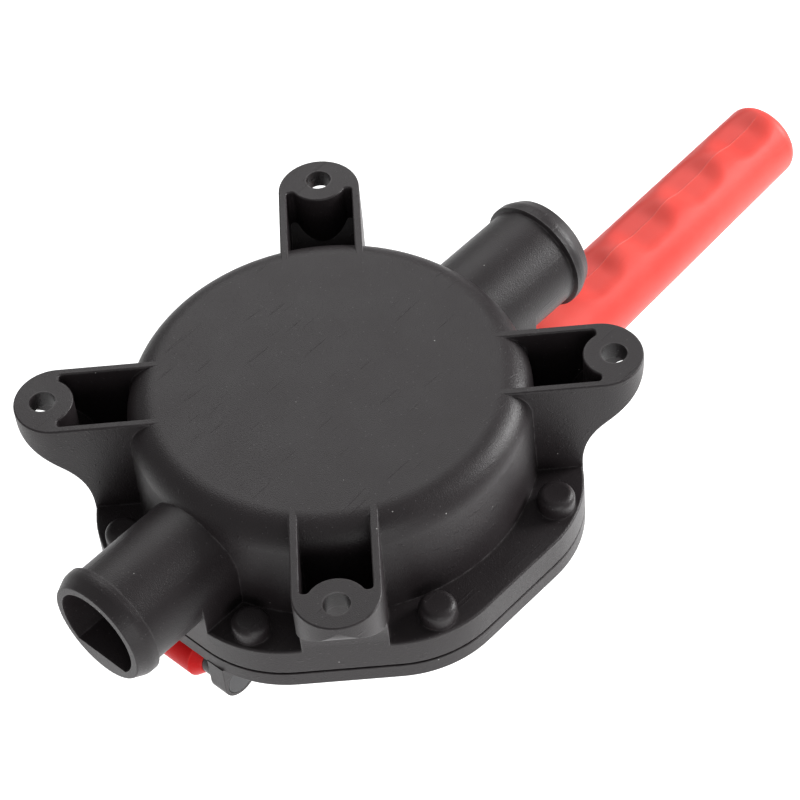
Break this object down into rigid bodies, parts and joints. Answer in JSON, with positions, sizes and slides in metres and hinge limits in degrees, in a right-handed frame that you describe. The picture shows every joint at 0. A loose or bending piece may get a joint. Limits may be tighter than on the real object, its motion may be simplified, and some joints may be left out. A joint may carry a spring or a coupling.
{
  "type": "manual bilge pump",
  "caption": "Bulkhead-mounted manual diaphragm bilge pump: round black bowl with four mounting ears, two in-line hose tails and a hinged red lever handle.",
  "frame": {"origin": "centre of the four mounting holes, on the flat back that meets the bulkhead", "axes": "+Z out of the back towards the bulkhead, so the pump lies at z below 0; +X along the hose tails from inlet to outlet, the way the handle points; +Y across, along the lever's hinge pin"},
  "size_m": [0.352, 0.1646, 0.0922],
  "materials": {
    "body_plastic": "satin moulded black plastic",
    "valve_plastic": "satin",
    "plate_plastic": "satin",
    "bush_plastic": "smooth",
    "lever_plastic": "satin deep red",
    "grip_plastic": "satin coral red",
    "rubber": "matt",
    "stainless": "satin stainless steel"
  },
  "bodies": {
    "casing": {"pump_body": "body_plastic", "clamp_ring": "body_plastic", "clamp_screws": "stainless", "inlet_valve_seat": "valve_plastic", "inlet_flap_clip": "valve_plastic", "inlet_valve_screws": "stainless", "outlet_valve_seat": "valve_plastic", "outlet_flap_clip": "valve_plastic", "outlet_valve_screws": "stainless", "diaphragm": "rubber", "pivot_spacers": "bush_plastic", "pivot_pin": "plate_plastic", "pivot_clip": "stainless"},
    "lever_arm": {"lever": "lever_plastic", "pivot_bushes": "bush_plastic", "handle_grip": "grip_plastic", "handle_screw": "stainless"},
    "diaphragm_centre": {"inner_plate": "plate_plastic", "outer_plate": "plate_plastic", "centre_bolt": "stainless", "sealing_washer": "stainless", "pull_rod": "plate_plastic", "cross_pin": "stainless", "cross_pin_clips": "stainless"},
    "inlet_flap_leaf": {"inlet_flap": "rubber"},
    "outlet_flap_leaf": {"outlet_flap": "rubber"}
  },
  "joints": [
    {"name": "lever_hinge", "type": "hinge", "parent": "casing", "child": "lever_arm", "pos_m": [-0.075, 0, -0.067], "axis": [0, 1, 0], "range_deg": [-3, 24]},
    {"name": "diaphragm_stroke", "type": "slide", "parent": "casing", "child": "diaphragm_centre", "axis": [0, 0, -1], "range_m": [-0.00421, 0.03366], "deforming": ["diaphragm"]},
    {"name": "inlet_flap_hinge", "type": "hinge", "parent": "casing", "child": "inlet_flap_leaf", "pos_m": [-0.0557, 0, -0.0161], "axis": [0, -1, 0], "range_deg": [0, 40], "stiffness_Nm_per_rad": 0.002},
    {"name": "outlet_flap_hinge", "type": "hinge", "parent": "casing", "child": "outlet_flap_leaf", "pos_m": [0.0618, 0, -0.0161], "axis": [0, -1, 0], "range_deg": [0, 40], "stiffness_Nm_per_rad": 0.002}
  ],
  "couplings": [
    {"joint": "diaphragm_stroke", "follows": "lever_hinge", "m_per_rad": 0.080327}
  ]
}
